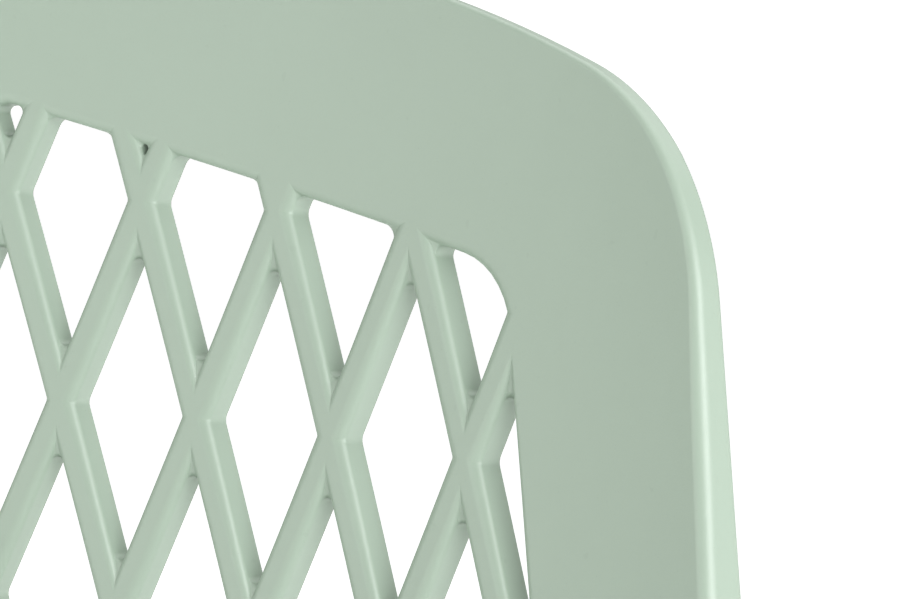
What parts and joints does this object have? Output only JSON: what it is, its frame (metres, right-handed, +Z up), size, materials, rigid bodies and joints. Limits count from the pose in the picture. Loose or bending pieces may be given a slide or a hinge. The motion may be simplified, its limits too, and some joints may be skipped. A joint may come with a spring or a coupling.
{
  "type": "stacking chair",
  "caption": "Armless stacking chair with a wrap-round diamond-lattice moulded back, a matching lattice seat and a splayed bent-tube frame, all in sage green.",
  "frame": {"origin": "on the floor, under the middle of the chair's bounding box", "axes": "+Z up, -Y towards the front of the chair, +X to the right of someone who looks at its front"},
  "size_m": [0.5376, 0.5469, 0.8124],
  "materials": {
    "sage_plastic": "moulded polypropylene, fine matt texture",
    "sage_powder_coat": "satin powder coat on steel",
    "glide_plastic": "moulded nylon, dark grey green",
    "bumper_rubber": "soft moulded elastomer, dark grey green",
    "zinc_steel": "zinc plated"
  },
  "bodies": {
    "root": {"backrest": "sage_plastic", "seat": "sage_plastic", "upright_left": "sage_powder_coat", "front_leg_left": "sage_powder_coat", "back_screw_left": "zinc_steel", "back_screw_cap_left": "sage_plastic", "glide_front_left": "glide_plastic", "glide_rear_left": "glide_plastic", "stack_bumper_front_left": "bumper_rubber", "stack_bumper_rear_left": "bumper_rubber", "upright_right": "sage_powder_coat", "front_leg_right": "sage_powder_coat", "back_screw_right": "zinc_steel", "back_screw_cap_right": "sage_plastic", "glide_front_right": "glide_plastic", "glide_rear_right": "glide_plastic", "stack_bumper_front_right": "bumper_rubber", "stack_bumper_rear_right": "bumper_rubber", "cross_rail_front": "sage_powder_coat", "cross_rail_rear": "sage_powder_coat", "seat_tab_front_left": "sage_powder_coat", "seat_screw_front_left": "zinc_steel", "seat_tab_front_right": "sage_powder_coat", "seat_screw_front_right": "zinc_steel", "seat_tab_rear_left": "sage_powder_coat", "seat_screw_rear_left": "zinc_steel", "seat_tab_rear_right": "sage_powder_coat", "seat_screw_rear_right": "zinc_steel"}
  },
  "joints": []
}
